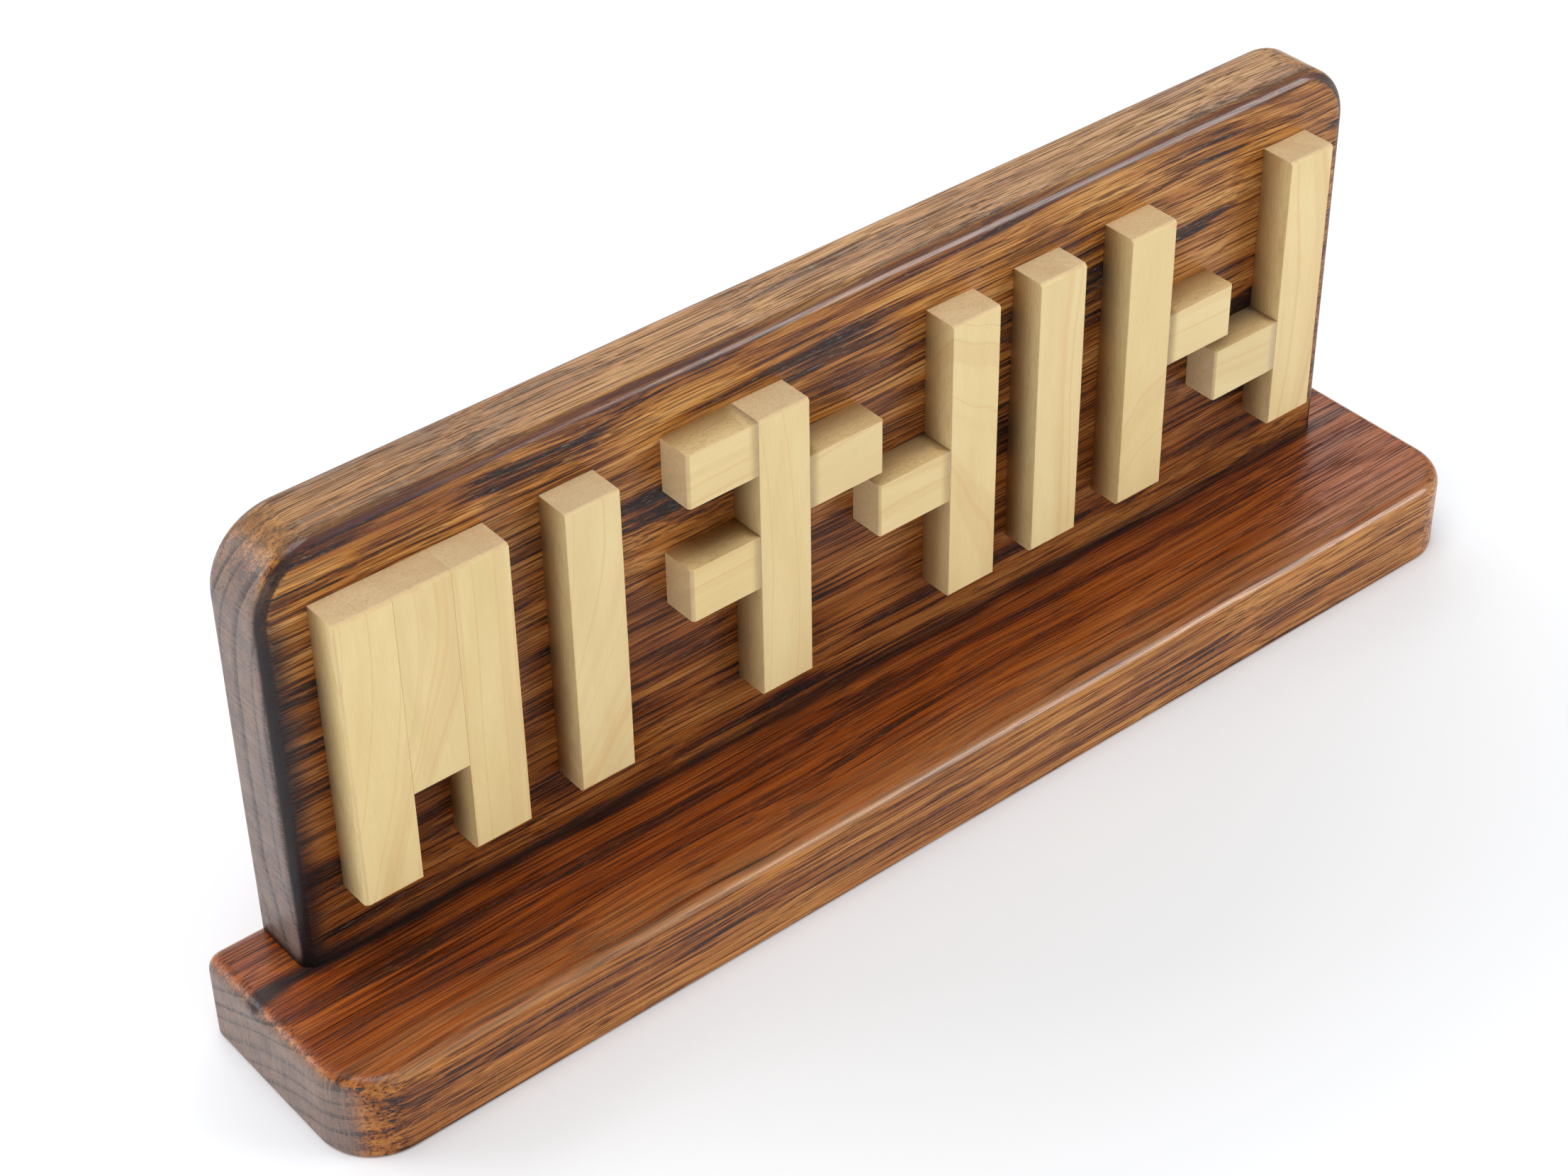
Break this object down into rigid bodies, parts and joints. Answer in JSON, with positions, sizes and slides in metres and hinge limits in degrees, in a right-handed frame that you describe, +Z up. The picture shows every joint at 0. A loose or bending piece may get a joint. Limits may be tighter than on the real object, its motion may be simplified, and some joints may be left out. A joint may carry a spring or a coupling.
{
  "type": "wooden figure-and-ground puzzle plaque",
  "caption": "Desk-top puzzle plaque: pale maple bars with short side arms, glued in a row on the front of a stained oak board that stands upright on an oak base.",
  "frame": {"origin": "centre of the base's underside, which is the bottom centre of the whole object's box", "axes": "+X along the length, to the right as seen from the front; +Y to the back, where the board stands; +Z up"},
  "size_m": [0.306, 0.0524, 0.1174],
  "materials": {
    "oak_base": "dark-stained open-grain oak under satin lacquer",
    "oak_board": "dark-stained open-grain oak with near-black streaks, satin lacquer",
    "maple": "pale close-grained maple, sanded smooth, thin satin finish",
    "screw_steel": "zinc-plated, yellow passivated"
  },
  "bodies": {
    "root": {"base": "oak_base", "back_board": "oak_board", "block1_left_strip": "maple", "block1_middle_strip": "maple", "block1_right_strip": "maple", "block2_bar": "maple", "block3_bar": "maple", "block3_upper_left_arm": "maple", "block3_lower_left_arm": "maple", "block3_right_arm": "maple", "block4_bar": "maple", "block4_left_arm": "maple", "block5_bar": "maple", "block6_bar": "maple", "block6_right_arm": "maple", "block7_bar": "maple", "block7_left_arm": "maple", "screw_left": "screw_steel", "screw_middle": "screw_steel", "screw_right": "screw_steel"}
  },
  "joints": []
}
